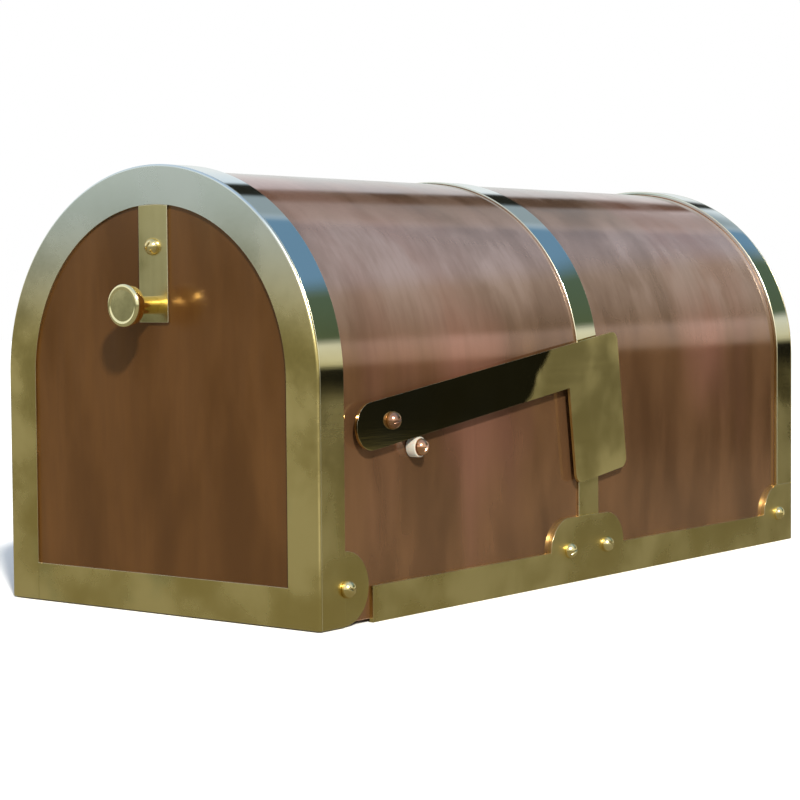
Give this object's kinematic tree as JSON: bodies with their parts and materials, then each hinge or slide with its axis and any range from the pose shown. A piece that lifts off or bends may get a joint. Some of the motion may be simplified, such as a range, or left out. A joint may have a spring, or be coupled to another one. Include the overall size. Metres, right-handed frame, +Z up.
{
  "type": "rural mailbox",
  "caption": "Arched copper mailbox with brass trim, a drop-down door with a pull knob, a raised floor for a mounting board and a swinging signal flag.",
  "frame": {"origin": "centre of the four fixing holes, on the underside of the raised floor", "axes": "+Z up, +Y from the door towards the rear along the box, +X towards the side that carries the flag"},
  "size_m": [0.2281, 0.5004, 0.228],
  "materials": {
    "copper_shell": "lacquered copper sheet, softly mottled",
    "copper_door": "lacquered copper sheet, browner",
    "copper_floor": "plain copper sheet",
    "brass_ring": "lacquered brass, satin",
    "brass_rim": "polished brass",
    "brass_rail": "lacquered brass, satin",
    "brass_strap": "lacquered brass, satin",
    "brass_knob": "turned and polished brass",
    "brass_flag": "mirror-polished brass",
    "brass_screw": "polished brass",
    "brass_nut": "plain brass",
    "copper_screw": "polished copper-coloured heads",
    "spring_brass": "rolled spring brass",
    "white_nylon": "moulded nylon"
  },
  "bodies": {
    "box": {"shell": "copper_shell", "floor_pan": "copper_floor", "rear_panel": "copper_door", "rear_ring": "brass_ring", "rear_rim": "brass_rim", "middle_band": "brass_rim", "side_rail_right": "brass_rail", "side_rail_left": "brass_rail", "rail_screws": "brass_screw", "rail_nuts": "brass_nut", "hinge_screws": "brass_screw", "hinge_nuts": "brass_nut", "catch_leaf": "spring_brass", "flag_spacer": "brass_nut", "flag_stop_roller": "white_nylon", "flag_pivot_screw": "copper_screw", "flag_pivot_nut": "brass_nut", "flag_stop_screw": "copper_screw", "flag_stop_nut": "brass_nut"},
    "door": {"door_ring": "brass_ring", "door_rim": "brass_rim", "door_panel": "copper_door", "hinge_ear_right": "brass_rail", "hinge_ear_left": "brass_rail", "knob_strap": "brass_strap", "knob": "brass_knob", "knob_washer": "brass_nut", "knob_screw": "brass_screw", "strap_screw": "brass_screw", "strap_nut": "brass_nut", "catch_tongue": "spring_brass"},
    "flag": {"flag": "brass_flag"}
  },
  "joints": [
    {"name": "door_hinge", "type": "hinge", "parent": "box", "child": "door", "pos_m": [0, -0.2185, -0.0052], "axis": [1, 0, 0], "range_deg": [0, 90]},
    {"name": "flag_pivot", "type": "hinge", "parent": "box", "child": "flag", "pos_m": [0.1098, -0.1852, 0.0753], "axis": [1, 0, 0], "range_deg": [0, 97]}
  ]
}
